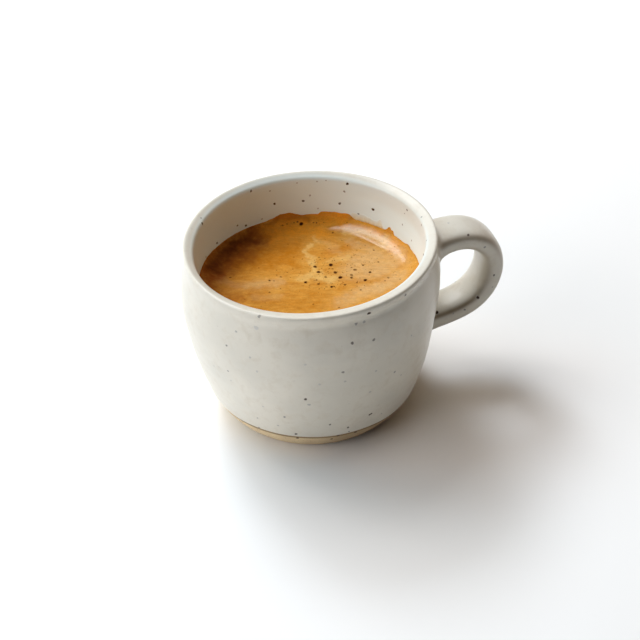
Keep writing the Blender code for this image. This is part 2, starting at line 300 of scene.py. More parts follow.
# Iron specks in the glaze and the clay: (column, row, radius in pixels, darkness)
IRON_SPECKS = (
    (226.5, 345.5, 1.2, 0.65), (236, 331.5, 1.2, 0.35), (259, 316.5, 1.4, 0.5), (228, 371, 1.2, 0.5),
    (214, 366, 0.9, 0.25), (219, 367, 0.7, 0.25), (231, 380.5, 0.9, 0.25), (250, 357.5, 1.2, 0.22),
    (257, 371.5, 1.3, 0.2), (256, 327.5, 2.3, 0.14), (257.5, 418, 0.9, 0.45), (263, 406.5, 1, 0.22),
    (284.5, 417, 1.3, 0.55), (278, 425.5, 1.1, 0.35), (296, 434, 1.5, 0.95), (297.5, 438, 1.4, 1),
    (259, 427.5, 1.1, 0.6), (305.5, 399.3, 1.6, 0.9), (309, 404.7, 1.5, 0.35), (369.6, 414.7, 1.2, 1),
    (371.2, 413.7, 1.2, 1), (330, 424.6, 1.2, 0.8), (348, 427.5, 1.3, 0.9), (355.5, 432, 1.6, 1),
    (338, 435.5, 1.5, 1), (331.5, 439, 1.5, 1), (349, 431.5, 0.8, 0.9), (369, 313.3, 1.8, 1),
    (405.5, 295, 1.5, 0.7), (356, 323.5, 1.7, 0.5), (364, 322, 1.4, 0.38), (352.2, 343.2, 1.6, 0.75),
    (373.8, 339.8, 1.5, 0.62), (343, 372.3, 1.4, 0.6), (345, 381.5, 1.2, 0.28), (376, 371, 1.1, 0.28),
    (370, 392, 1.2, 0.28), (394.7, 372, 1.2, 0.55), (401, 375, 0.8, 0.4), (411.5, 335.5, 1.1, 0.28),
    (305, 364.8, 1.2, 0.18), (319.5, 384.5, 1.2, 0.22), (381.5, 413.5, 0.8, 0.4), (251, 191, 1.3, 0.8),
    (270, 191, 0.9, 0.5), (274.5, 203.8, 1.4, 0.95), (303.2, 201, 1.4, 0.9), (310, 195.5, 1.1, 0.4),
    (347.3, 183.8, 1.5, 1), (344.3, 191.5, 1.2, 0.6), (339.7, 203.5, 1.4, 0.85), (373, 209.5, 1.6, 1),
    (358.5, 214.6, 1.5, 0.95), (407, 210, 1.2, 0.75), (404.5, 213.5, 0.8, 0.45),
    (402.5, 224.6, 0.9, 0.55), (421.5, 217, 0.9, 0.55), (421.5, 225, 1, 0.65), (411.5, 240.5, 0.9, 0.4),
    (426.5, 240.5, 0.9, 0.5), (317, 181.5, 0.9, 0.38), (326, 180.5, 0.8, 0.3), (297, 183, 0.9, 0.28),
    (318, 208.5, 0.9, 0.32), (246, 225.5, 1.3, 0.9), (237.5, 225.5, 1.1, 0.75), (262, 219, 1, 0.4),
    (217, 243, 1.4, 0.85), (206, 257, 1, 0.65), (202.3, 223.5, 1.3, 0.9), (201, 218, 1, 0.45),
    (468.2, 235, 1.3, 0.9), (448.5, 223, 1.1, 0.22), (484.8, 247.2, 1.2, 0.5), (494, 275.2, 1.2, 0.8),
    (492.5, 287, 0.8, 0.4), (477.8, 297.5, 1.7, 1), (436.8, 312.5, 1.8, 1), (464.7, 309.7, 1.1, 0.65),
    (453.3, 313.5, 0.9, 0.45),
)

# Studio, in metres and watts: half the floor's side, strength of the sky, and the lamps, as
# (name, azimuth and elevation in degrees, distance, width, height, power, tint, whether
# glossy surfaces mirror it)
FLOOR_REACH = 3.0
SKY_STRENGTH = 0.015
LAMPS = (
    ("window", 115.9, 57.0, 1.0, 0.50, 0.55, 5.15, "#fbfcff", True),
    ("window_left", 138.9, 47.0, 1.0, 0.35, 0.35, 1.2, "#ffffff", False),
    ("window_side", 155.9, 45.0, 1.0, 0.40, 0.40, 1.5, "#b4e4ff", False),
    ("left_wall", 188.9, 25.0, 0.9, 0.80, 0.60, 4.6, "#fbfbff", True),
    ("far_right", 28.9, 40.0, 0.9, 0.70, 0.50, 1.5, "#ffdcb6", False),
    ("behind", 98.9, 45.0, 1.0, 0.30, 0.30, 5.0, "#e6f2ff", False),
    ("overhead", 73.9, 86.0, 0.9, 0.50, 0.50, 0.5, "#ffffff", False),
)


def hex_colour(code):
    """sRGB hex code to linear RGBA."""
    srgb = np.array([int(code[i:i + 2], 16) for i in (1, 3, 5)]) / 255.0
    linear = np.where(srgb <= 0.04045, srgb / 12.92, ((srgb + 0.055) / 1.055) ** 2.4)
    return (*linear.tolist(), 1.0)


# Curves, fields and meshes

def natural_spline(stations, count):
    """Natural cubic spline through the stations, its parameter the root of the chord lengths.

    The second derivatives m solve the usual three-term system, with m = 0 at both ends.
    """
    chords = np.linalg.norm(np.diff(stations, axis=0), axis=1)
    step = np.sqrt(chords)
    knots = np.concatenate([[0.0], np.cumsum(step)])
    size = len(stations)
    system = np.eye(size)
    slopes = np.diff(stations, axis=0) / step[:, None]
    known = np.zeros_like(stations)
    for i in range(1, size - 1):
        system[i, i - 1:i + 2] = (step[i - 1], 2.0 * (step[i - 1] + step[i]), step[i])
        known[i] = 6.0 * (slopes[i] - slopes[i - 1])
    bend = np.linalg.solve(system, known)
    t = np.linspace(0.0, knots[-1], count)
    i = np.clip(np.searchsorted(knots, t, side="right") - 1, 0, size - 2)
    h = step[i, None]
    ahead = (t - knots[i])[:, None]
    behind = h - ahead
    cubic = (bend[i] * behind ** 3 + bend[i + 1] * ahead ** 3) / (6.0 * h)
    straight = (stations[i] / h - bend[i] * h / 6.0) * behind
    return cubic + straight + (stations[i + 1] / h - bend[i + 1] * h / 6.0) * ahead


def lengths_along(curve):
    """Length of a polyline up to each of its points."""
    return np.concatenate([[0.0], np.cumsum(np.linalg.norm(np.diff(curve, axis=0), axis=1))])


def directions(curve):
    """Unit vectors along a polyline, at each of its points."""
    along = np.gradient(curve, axis=0)
    return along / np.linalg.norm(along, axis=1, keepdims=True)


def ease(t):
    """Smooth step from 0 to 1."""
    t = np.clip(t, 0.0, 1.0)
    return t * t * (3.0 - 2.0 * t)


def bell(offset, width):
    """Bell curve: exp(-(offset / width)^2)."""
    return np.exp(-(offset / width) ** 2)


def around(count):
    """Angles that share out one turn."""
    return np.linspace(0.0, math.tau, count, endpoint=False)


def degrees_from(azimuth, towards):
    """Angle in degrees between a direction and an azimuth in radians, from -180 to 180."""
    return (np.degrees(azimuth) - towards + 180.0) % 360.0 - 180.0


def about_axis(radius, azimuth, height):
    """Points at a radius, an azimuth and a height about the cup's axis."""
    x, y = radius * np.cos(azimuth), radius * np.sin(azimuth)
    return np.stack(np.broadcast_arrays(x, y, height), axis=-1)


def lobes(terms, azimuth):
    """Sum of cosines round the cup."""
    return sum(size * np.cos(count * (azimuth - math.radians(peak))) for count, size, peak in terms)


def drift(x, y, pitch, seed):
    """Value noise between -1 and 1: random heights on a square lattice, eased between points."""
    size = 64
    lattice = np.random.default_rng(seed).uniform(-1.0, 1.0, (size, size))
    u, v = x / pitch, y / pitch
    i, j = np.floor(u).astype(int), np.floor(v).astype(int)
    p, q = ease(u - i), ease(v - j)
    near, far = (
        lattice[i % size, k % size] * (1.0 - p) + lattice[(i + 1) % size, k % size] * p
        for k in (j, j + 1)
    )
    return near * (1.0 - q) + far * q


def drifts(x, y, terms):
    """Sum of several such noises."""
    return sum(size * drift(x, y, pitch, seed) for size, pitch, seed in terms)


def stroke(x, y, route, width):
    """How deep points lie in a stroke: 1 / (1 + (d / width)^4), d the distance from its route."""
    gap = np.full(np.shape(x), np.inf)
    for (ax, ay), (bx, by) in zip(route[:-1], route[1:]):
        length = math.hypot(bx - ax, by - ay)
        ux, uy = (bx - ax) / length, (by - ay) / length
        along = np.clip((x - ax) * ux + (y - ay) * uy, 0.0, length)
        gap = np.minimum(gap, np.hypot(x - ax - along * ux, y - ay - along * uy))
    return 1.0 / (1.0 + (gap / width) ** 4)


def uneven(radius, height, azimuth):
    """Moves a turned point as the thrower left it: the rim rises and sways, the belly leans."""
    share = np.clip(height / CUP_HEIGHT, 0.0, 1.0)
    lift = ease((share - LIFT_FROM) / (1.0 - LIFT_FROM)) * lobes(RIM_LIFT, azimuth)
    sway = ease((share - SWAY_FROM) / (1.0 - SWAY_FROM)) * lobes(WALL_SWAY, azimuth)
    lean = np.sin(math.pi * share) ** 2 * lobes(BELLY_SWAY, azimuth)
    return radius + sway + lean, height + lift


def lip_flare(radius, height, azimuth):
    """How far the lip leans out in mm: bells round the cup, eased in below the rim."""
    outside, inside = (
        sum(size * bell(degrees_from(azimuth, towards), width) for towards, width, size in flares)
        for flares in (OUTER_FLARES, INNER_FLARES)
    )
    outside = outside * ease((height - OUTER_FLARE_FROM) / OUTER_FLARE_REACH)
    inside = inside * ease((height - INNER_FLARE_FROM) / INNER_FLARE_REACH)
    across = ease((radius - LIP[-1, 0]) / (LIP[0, 0] - LIP[-1, 0]))
    return inside + across * (outside - inside)


def grid_faces(rows, columns):
    """Quads between neighbouring rows of a grid whose columns close into a ring."""
    i, j = np.meshgrid(np.arange(rows - 1), np.arange(columns), indexing="ij")
    k = (j + 1) % columns
    quads = np.stack([i * columns + j, i * columns + k, (i + 1) * columns + k, (i + 1) * columns + j], -1)
    return quads.reshape(-1, 4)


def fan_faces(pole, ring, turned):
    """Triangles from a pole to a ring of vertices."""
    ahead = np.roll(ring, -1)
    pair = (ahead, ring) if turned else (ring, ahead)
    return np.stack([np.full(len(ring), pole), *pair], -1)


def smooth_mesh(name, points, faces):
    """A smoothly shaded mesh from points in mm."""
    mesh = bpy.data.meshes.new(name)
    mesh.from_pydata((points * MM).tolist(), [], faces)
    mesh.shade_smooth()
    return mesh


def skin(name, rings, poles=None):
    """Mesh over rings of points in mm, closed at both ends by a fan about a pole.

    The rings run so that each row's direction of turn crossed with the step to the next row
    points outwards. A pole that isn't given is the middle of its end ring.
    """
    rows, columns = rings.shape[:2]
    if poles is None:
        poles = (rings[0].mean(axis=0), rings[-1].mean(axis=0))
    count = rows * columns
    faces = grid_faces(rows, columns).tolist()
    faces += fan_faces(count, np.arange(columns), True).tolist()
    faces += fan_faces(count + 1, np.arange(count - columns, count), False).tolist()
    return smooth_mesh(name, np.vstack([rings.reshape(-1, 3), np.array(poles)]), faces)


def place(name, mesh, *materials):
    """Adds an object at the origin that wears the materials."""
    item = bpy.data.objects.new(name, mesh)
    for material in materials:
        item.data.materials.append(material)
    bpy.context.scene.collection.objects.link(item)
    return item


def scatter(name, hits, radii, profile, sides, uneven_share, seed):
    """Many small round things in one mesh, each one rings of a profile where it sits.

    A hit is a place on a surface and the normal there. A profile row is (share of the
    thing's radius, height in mm above the surface), from its sunk edge to its middle. The
    outline is the radius times 1 plus two cosines of random phase. Returns the mesh and,
    for each vertex, the number of its thing and of its ring.
    """
    draw = np.random.default_rng(seed)
    centres, normals = (np.array(column)[:, None] for column in zip(*hits))
    count, rows = len(centres), len(profile)
    turn = around(sides)
    across = np.cross(normals, draw.normal(size=(count, 3))[:, None])
    across /= np.linalg.norm(across, axis=-1, keepdims=True)
    over = np.cross(normals, across)
    phase = draw.uniform(0.0, math.tau, (2, count, 1))
    outline = 1.0 + uneven_share * (np.cos(2.0 * turn + phase[0]) + 0.6 * np.cos(3.0 * turn + phase[1]))
    spoke = np.cos(turn)[:, None] * across + np.sin(turn)[:, None] * over
    spoke = spoke * (outline * np.array(radii)[:, None])[..., None]
    share, rise = np.array(profile).T
    rings = centres[:, None] + share[:, None, None] * spoke[:, None]
    rings = rings + rise[:, None, None] * normals[:, None]
    poles = centres + np.array([rise[0], rise[-1]])[:, None] * normals
    points = np.concatenate([rings.reshape(count, -1, 3), poles], axis=1)
    each = rows * sides + 2
    blocks = (
        grid_faces(rows, sides),
        fan_faces(each - 2, np.arange(sides), True),
        fan_faces(each - 1, np.arange(each - 2 - sides, each - 2), False),
    )
    start = np.arange(count)[:, None, None] * each
    faces = [face for block in blocks for face in (block + start).reshape(-1, block.shape[-1]).tolist()]
    ring_number = np.concatenate([np.arange(rows).repeat(sides), [0, rows - 1]])
    mesh = smooth_mesh(name, points.reshape(-1, 3), faces)
    return mesh, np.arange(count).repeat(each), np.tile(ring_number, count)


def paint(mesh, layer, values):
    """Gives the mesh one number per vertex under a name that a material can read."""
    data = mesh.attributes.new(layer, "FLOAT", "POINT").data
    data.foreach_set("value", np.ascontiguousarray(values, float))


def dots(name, spots, profile, layer, shares, uneven_share, seed):
    """Scatters spots of (hit, radius in the photograph's pixels, depth of colour), and paints
    a layer with that depth times the share of it that each ring of the profile has.
    """
    hits, sizes, depths = zip(*spots)
    radii = np.array(sizes) / PIXELS_PER_MM
    mesh, dot, ring = scatter(name, hits, radii, profile, sides=12, uneven_share=uneven_share, seed=seed)
    paint(mesh, layer, np.array(depths)[dot] * np.array(shares)[ring])
    return mesh


def numbers(items, what, each=1, kind=int):
    """One property of all of a mesh's items, as one array."""
    values = np.zeros(len(items) * each, kind)
    items.foreach_get(what, values)
    return values


def mesh_points(mesh):
    """Vertex positions of a mesh in mm."""
    return numbers(mesh.vertices, "co", 3, float).reshape(-1, 3) / MM


# Materials

# Sockets of the colour form of the Mix node
FACTOR, FIRST, SECOND, MIXED = 0, 6, 7, 2


def add(tree, kind, sockets=None, **settings):
    """Adds one node. A socket is given a number, a hex colour, or the node or output that
    feeds it.
    """
    node = tree.nodes.new(kind)
    for name, value in settings.items():
        setattr(node, name, value)
    for key, value in (sockets or {}).items():
        if isinstance(value, bpy.types.Node):
            value = value.outputs[0]
        if isinstance(value, bpy.types.NodeSocket):
            tree.links.new(value, node.inputs[key])
        else:
            node.inputs[key].default_value = hex_colour(value) if isinstance(value, str) else value
    return node


def made_of(recipe):
    """A material with its recipe's name. A recipe lays its patterns in a tree by Object
    coordinates in mm, and returns what the sockets of a Principled shader are given.
    """
    material = bpy.data.materials.new(recipe.__name__)
    material.use_nodes = True
    tree = material.node_tree
    tree.nodes.clear()
    spot = add(tree, "ShaderNodeTexCoord").outputs["Object"]
    spot = add(tree, "ShaderNodeMapping", {"Vector": spot, "Scale": (1.0 / MM,) * 3})
    shader = add(tree, "ShaderNodeBsdfPrincipled", recipe(tree, spot))
    add(tree, "ShaderNodeOutputMaterial", {"Surface": shader})
    return material


def drifting(tree, spot, pitch, first, second, low=0.0, high=1.0, most=1.0, **noise):
    """A colour that drifts into a second one and back: a noise with a pitch in mm, whose
    values from low to high are a share of the second colour from 0 to most.
    """
    cloud = add(tree, "ShaderNodeTexNoise", {"Vector": spot, "Scale": 1.0 / pitch, **noise})
    share = add(tree, "ShaderNodeMapRange", {
        "Value": cloud, "From Min": low, "From Max": high, "To Max": most,
    })
    return add(tree, "ShaderNodeMix", {
        FACTOR: share, FIRST: first, SECOND: second,
    }, data_type="RGBA").outputs[MIXED]


def tinted(tree, colour, tints):
    """Lays tints over a colour, each as strong as the painted layer that it belongs to."""
    for layer, tint in tints.items():
        share = add(tree, "ShaderNodeAttribute", attribute_name=layer).outputs["Fac"]
        colour = add(tree, "ShaderNodeMix", {
            FACTOR: share, FIRST: colour, SECOND: tint,
        }, data_type="RGBA").outputs[MIXED]
    return colour


def satin_glaze(tree, spot):
    """Satin white glaze over an iron-bearing stoneware: opaque, soft sheen, buried specks.

    The colour drifts a little where the glaze is thicker, and iron from the clay bleeds
    through as small freckles of two sizes, most of them half hidden.
    """
    colour = drifting(tree, spot, 13.0, "#d7d1c3", "#e0d9ca", 0.35, 0.65, Detail=3.0)
    # Warmer flecks where the glaze lies thinner over the clay
    colour = drifting(
        tree, spot, 3.2, colour, "#c9bda8", 0.50, 0.72, 0.38,
        Detail=4.0, Roughness=0.62, Distortion=0.4,
    )
    # Brown where it runs thin over the strap's edges, with painted shade in the fold under them, and a
    # cooler lining
    colour = tinted(tree, colour, {"break_and_shade": "#7f6646", "lining": "#e4eae4"})
    # Buried iron too faint to be a speck: (spacing in mm, radius in mm, share of the grains,
    # strength)
    for spacing, radius, share, strength in ((4.6, 0.75, 0.40, 0.13), (2.1, 0.32, 0.45, 0.20)):
        grain = add(tree, "ShaderNodeTexVoronoi", {"Vector": spot, "Scale": 1.0 / spacing})
        chosen = add(tree, "ShaderNodeSeparateColor", {"Color": grain.outputs["Color"]})
        size = add(tree, "ShaderNodeMapRange", {
            "Value": chosen, "From Min": 1.0 - share, "To Min": 0.001, "To Max": radius / spacing,
        })
        inside = add(tree, "ShaderNodeMapRange", {
            "Value": grain, "From Max": size, "To Min": strength, "To Max": 0.0,
        }, interpolation_type="SMOOTHSTEP")
        colour = add(tree, "ShaderNodeMix", {
            FACTOR: inside, FIRST: colour, SECOND: "#7a6a55",
        }, data_type="RGBA").outputs[MIXED]
    ripple = add(tree, "ShaderNodeTexNoise", {"Vector": spot, "Scale": 1.0 / 1.6, "Detail": 2.0})
    bump = add(tree, "ShaderNodeBump", {"Height": ripple, "Strength": 0.25, "Distance": 0.04 * MM})
    return {"Base Color": colour, "Roughness": 0.3, "IOR": 1.5, "Normal": bump}


def bare_clay(tree, spot):
    """Unglazed buff stoneware: matt and sandy, with fine dark grit, a toast line under the glaze's edge,
    and painted shade on the side away from the lamps.
    """
    grit = 0.35
    colour = drifting(tree, spot, 5.0, "#d6bc95", "#e8d0a6", 0.3, 0.7, Detail=4.0)
    colour = drifting(tree, spot, grit, colour, "#6d5337", 0.66, 0.72, Detail=2.0)
    # Toast line under the glaze, and painted shade on the side away from the lamps
    colour = tinted(tree, colour, {"toast_and_shade": "#5e3b18"})
    sand = add(tree, "ShaderNodeTexNoise", {"Vector": spot, "Scale": 1.0 / grit, "Detail": 2.0})
    bump = add(tree, "ShaderNodeBump", {"Height": sand, "Strength": 0.5, "Distance": 0.08 * MM})
    return {"Base Color": colour, "Roughness": 0.88, "IOR": 1.45, "Normal": bump}


def crema_colour(tree, spot):
    """Colour of the crema: golden streaks drawn out across the view, under the marbling's layers, with
    painted shadow and a painted highlight among them.
    """
    drawn_out = add(tree, "ShaderNodeMapping", {
        "Vector": spot, "Rotation": (0.0, 0.0, math.radians(VIEW_AZIMUTH)), "Scale": (2.2, 1.0, 1.0),
    }, vector_type="TEXTURE")
    colour = drifting(
        tree, drawn_out, 2.2, "#ba7824", "#cf943f", 0.36, 0.64,
        Detail=6.0, Roughness=0.72, Distortion=0.7,
    )
    colour = tinted(tree, colour, CREMA_TINTS)
    # Patches of coarser foam
    patch = add(tree, "ShaderNodeTexNoise", {
        "Vector": drawn_out, "Scale": 1.0 / 0.9, "Detail": 4.0, "Roughness": 0.7,
    })
    patch = add(tree, "ShaderNodeMapRange", {
        "Value": patch, "From Min": 0.3, "From Max": 0.7, "To Min": 0.88, "To Max": 1.10,
    })
    return add(tree, "ShaderNodeVectorMath", {0: colour, "Scale": patch}, operation="SCALE")


def crema_foam(tree, spot):
    """Crema: a foam of bubbles too fine to see, with an oily skin over it.

    The skin is wet and smooth on the bank by the wall, where it mirrors the window, and
    almost matt elsewhere.
    """
    wet = add(tree, "ShaderNodeAttribute", attribute_name="wet").outputs["Fac"]
    skin_share = add(tree, "ShaderNodeMapRange", {"Value": wet, "To Min": 0.08})
    # Its bubbles of about 0.1 mm, drawn as a grain of 0.38 mm so that they show
    foam = add(tree, "ShaderNodeTexNoise", {"Vector": spot, "Scale": 1.0 / 0.38, "Detail": 2.0})
    grain = add(tree, "ShaderNodeMapRange", {
        "Value": foam, "From Min": 0.3, "From Max": 0.7, "To Min": 0.92, "To Max": 1.06,
    })
    colour = crema_colour(tree, spot)
    colour = add(tree, "ShaderNodeVectorMath", {0: colour, "Scale": grain}, operation="SCALE")
    bump = add(tree, "ShaderNodeBump", {"Height": foam, "Strength": 0.2, "Distance": 0.02 * MM})
    return {
        "Base Color": colour, "Roughness": 0.8, "Specular IOR Level": 0.1, "Normal": bump,
        "Coat Weight": skin_share, "Coat Roughness": 0.07, "Coat IOR": 1.5,
    }


def dried_wash(tree, spot):
    """A wash of crema so thin that the glaze shows through it, in upright streaks, and most
    of all at its top.
    """
    streak = add(tree, "ShaderNodeVectorMath", {0: spot, 1: (1.0, 1.0, 0.25)}, operation="MULTIPLY")
    colour = drifting(tree, streak, 0.9, "#dbbf86", "#e6d8b4", 0.35, 0.68, Detail=3.0)
    colour = tinted(tree, colour, {"thin": "#e0e0d6"})
    return {"Base Color": colour, "Roughness": 0.3, "IOR": 1.4}


def popped_foam(tree, spot):
    """The crater of a popped bubble: foam at its rim, dark coffee in its middle."""
    colour = tinted(tree, crema_colour(tree, spot), {"depth": "#371303"})
    return {"Base Color": colour, "Roughness": 0.9, "Specular IOR Level": 0.05}


def clear_bubble(tree, spot):
    """A whole bubble: a thin, glossy film of coffee over foam."""
    foam = crema_colour(tree, spot)
    colour = add(tree, "ShaderNodeVectorMath", {0: foam, "Scale": 0.92}, operation="SCALE")
    return {"Base Color": colour, "Roughness": 0.12, "Specular IOR Level": 0.3}


def iron_spot(tree, spot):
    """Iron from the clay that melted into the glaze: near black, and fainter towards the
    colour around it where it is buried.
    """
    dark = drifting(tree, spot, 0.3, "#24160a", "#553a1e", Detail=1.0)
    colour = tinted(tree, "#dcd8cf", {"on_clay": "#b98f60", "iron": dark})
    return {"Base Color": colour, "Roughness": 0.45, "Specular IOR Level": 0.2}


def espresso_liquid(tree, spot):
    """Espresso: nearly black, clear only at its thin edges, mirror smooth."""
    colour = drifting(tree, spot, 8.0, "#1c0b04", "#3a190a", Detail=3.0)
    return {"Base Color": colour, "Roughness": 0.06, "IOR": 1.34}


def pale_floor(tree, spot):
    """A matt painted floor, one colour all over."""
    return {"Base Color": "#f7f6f3", "Roughness": 0.7}


# The cup

def glaze_edge(azimuth):
    """Height in mm of the wavy line where the glaze stops."""
    return GLAZE_LINE + lobes(GLAZE_WAVES, azimuth)


def hand_marks(azimuth, height):
    """Dents and ridges in mm: cosines of the azimuth times cosines of the height, and a spiral."""
    draw = np.random.default_rng(11)
    total = RIDGE_SIZE * np.cos(math.tau * height / RIDGE_PITCH - azimuth)
    for _ in range(DENT_COUNT):
        # Waves round the cup, their pitch in mm up the wall, and a phase in both
        count = draw.integers(1, 6)
        pitch = draw.uniform(18.0, 46.0)
        turn, rise = draw.uniform(0.0, math.tau, 2)
        dents = np.cos(count * azimuth + turn) * np.cos(math.tau * height / pitch + rise)
        total = total + DENT_SIZE * dents
    return total


def inner_marks(radius, height, azimuth):
    """The dents of the inner wall, gentler than outside and fading at the lip and the floor."""
    fade = ease((CUP_HEIGHT - height) / 4.0) * ease((radius - 20.0) / 8.0)
    return 0.6 * fade * hand_marks(azimuth + 2.0, height + 7.0)


def outer_profile():
    """The outer wall as a dense curve, with its lengths and its outward normals."""
    curve = natural_spline(OUTER_WALL, CURVE_POINTS)
    along = directions(curve)
    return curve, lengths_along(curve), np.stack([along[:, 1], -along[:, 0]], axis=1)


def outer_radius(height):
    """Radius of the outer wall at a height, before the unevenness."""
    curve = outer_profile()[0]
    return np.interp(height, curve[:, 1], curve[:, 0])


def cup_rings():
    """Rings of the body from the middle of the foot, up the wall and down inside to the floor.

    Along the outer wall a ring stands at a length s from the foot's edge. The clay's rings
    share out the length up to the wavy glaze line, and the glaze's rings the rest, so that
    one ring lies on the line itself. Clay is set in by the glaze's thickness, which the
    glaze gains over its bead as a quarter circle. Returns the rings and the line's ring.
    """
    azimuth = around(CUP_COLUMNS)[None, :]
    curve, length, normal = outer_profile()
    line = np.interp(glaze_edge(azimuth), curve[:, 1], length)
    clay = np.linspace(0.0, 1.0, CLAY_RINGS, endpoint=False)[:, None] * line
    bead = np.array(BEAD_RINGS)[:, None] * GLAZE_BEAD + line
    share = np.arange(1, WALL_RINGS + 1)[:, None] / WALL_RINGS
    wall = line + GLAZE_BEAD + share * (length[-1] - line - GLAZE_BEAD)
    s = np.vstack([clay, bead, wall])
    cover = np.sqrt(1.0 - (1.0 - np.clip((s - line) / GLAZE_BEAD, 0.0, 1.0)) ** 2)
    height = np.interp(s, length, curve[:, 1])
    inset = GLAZE_THICKNESS * (1.0 - cover) * ease(height / 3.0)
    radius = np.interp(s, length, curve[:, 0]) - inset * np.interp(s, length, normal[:, 0])
    height = height - inset * np.interp(s, length, normal[:, 1])
    # The marks fade out over the last few mm before the foot and the lip
    fade = ease(height / 6.0) * ease((CUP_HEIGHT - height) / 3.0)
    groove = (0.5 + 0.5 * np.cos(azimuth - math.radians(NECK_TOWARDS))) ** 3
    groove = NECK_DEPTH * bell(height - NECK_HEIGHT, NECK_REACH) * groove
    radius = radius + fade * hand_marks(azimuth, height) - groove

    foot = np.linspace(1.0, OUTER_WALL[0, 0], FOOT_RINGS, endpoint=False)[:, None] + 0.0 * azimuth
    # The recess has the fine rings that a trimming tool leaves
    recess = FOOT_RECESS * ease((FOOT_RING - foot) / 1.5) + 0.03 * np.cos(foot * 4.0) * (foot < FOOT_RING)

    inner = natural_spline(np.vstack([LIP, INNER_WALL]), LINING_POINTS)
    length = lengths_along(inner)
    stations = np.arange(1, LINING_RINGS[-1] + 1)
    stations = np.interp(stations, LINING_RINGS, (*LINING_LENGTHS, length[-1] - 1.0))
    lining = [np.interp(stations, length, side)[:, None] + 0.0 * azimuth for side in inner.T]
    in_radius, in_height = lining
    in_radius = in_radius + inner_marks(in_radius, in_height, azimuth)

    radius = np.vstack([foot, radius, in_radius])
    height = np.vstack([recess, height, in_height])
    radius, height = uneven(radius + lip_flare(radius, height, azimuth), height, azimuth)
    return about_axis(radius, azimuth, height), FOOT_RINGS + CLAY_RINGS


def wall_stand_off(points):
    """How far points stand outside the cup's uneven outer wall, in mm."""
    x, y, height = np.moveaxis(points, -1, 0)
    return np.hypot(x, y) - uneven(outer_radius(height), height, np.arctan2(y, x))[0]


def strap_rings():
    """Rings of the pulled strap, a superellipse section carried along the route.

    The section tapers from joint to joint, flares as the exponential of its distance from
    the wall, and leans until, at the wall, all of it has the same x. Last, a point that is
    d from the wall moves outwards in its section by R - sqrt(R^2 - (R - d)^2), a round
    fillet of radius R.
    """
    route = natural_spline(HANDLE_ROUTE, STRAP_STATIONS)
    clear = route[:, 0] - outer_radius(route[:, 1])
    flare = np.exp(-np.clip(clear, 0.0, None) / FLARE_REACH)
    share = np.linspace(0.0, 1.0, STRAP_STATIONS)
    half_width = (np.interp(share, (0.0, 1.0), STRAP_WIDTH) + FLARE_WIDTH * flare) / 2.0
    half_thick = (np.interp(share, (0.0, 1.0), STRAP_THICKNESS) + FLARE_THICKNESS * flare) / 2.0
    along = directions(route)
    square = np.stack([-along[:, 1], along[:, 0]], axis=1)
    near = ease(1.0 - clear / LEAN_REACH)
    steep = np.where(near > 0.0, along[:, 0], 1.0)
    inward = (square - (near * square[:, 0] / steep)[:, None] * along) * half_thick[:, None]
    turn = around(STRAP_SIDES)
    across, through = (
        np.sign(side) * np.abs(side) ** (2.0 / STRAP_SQUARENESS) for side in (np.cos(turn), np.sin(turn))
    )
    centre = np.stack([route[:, 0], 0.0 * route[:, 0], route[:, 1]], axis=-1)[:, None, :]
    offset = np.stack([
        np.outer(inward[:, 0], through),
        np.outer(half_width, across),
        np.outer(inward[:, 1], through),
    ], axis=-1)
    reach = np.clip(1.0 - wall_stand_off(centre + offset) / FILLET_RADIUS, 0.0, 1.0)
    fillet = FILLET_SHARE * FILLET_RADIUS * (1.0 - np.sqrt(1.0 - reach ** 2))
    outward = offset / np.linalg.norm(offset, axis=-1, keepdims=True)
    return centre + offset + outward * fillet[..., None]


def thin_glaze_and_shade(points):
    """How dark the strap's edges are: where the glaze runs thin, and painted shade in the fold under
    them.

    It is the depth at the nearest station of the route times the bell of the angle in
    degrees round the superellipse section, from the middle of the strap's side.
    """
    route = natural_spline(HANDLE_ROUTE, STRAP_STATIONS)
    apart = np.hypot(points[:, :1] - route[:, 0], points[:, 2:] - route[:, 1])
    share = apart.argmin(axis=1) / (STRAP_STATIONS - 1.0)
    across = np.abs(points[:, 1]) / np.interp(share, (0.0, 1.0), STRAP_WIDTH) * 2.0
    through = apart.min(axis=1) / np.interp(share, (0.0, 1.0), STRAP_THICKNESS) * 2.0
    power = STRAP_SQUARENESS / 2.0
    turn = np.degrees(np.arctan2(through ** power, across ** power))
    on_strap = ease((wall_stand_off(points) - 0.3) / 1.5) * (np.maximum(across, through) < 1.5)
    return on_strap * np.interp(share, *zip(*BREAK_SHADE_DEPTH)) * bell(turn - BREAK_SHADE_TURN, BREAK_SHADE_REACH)


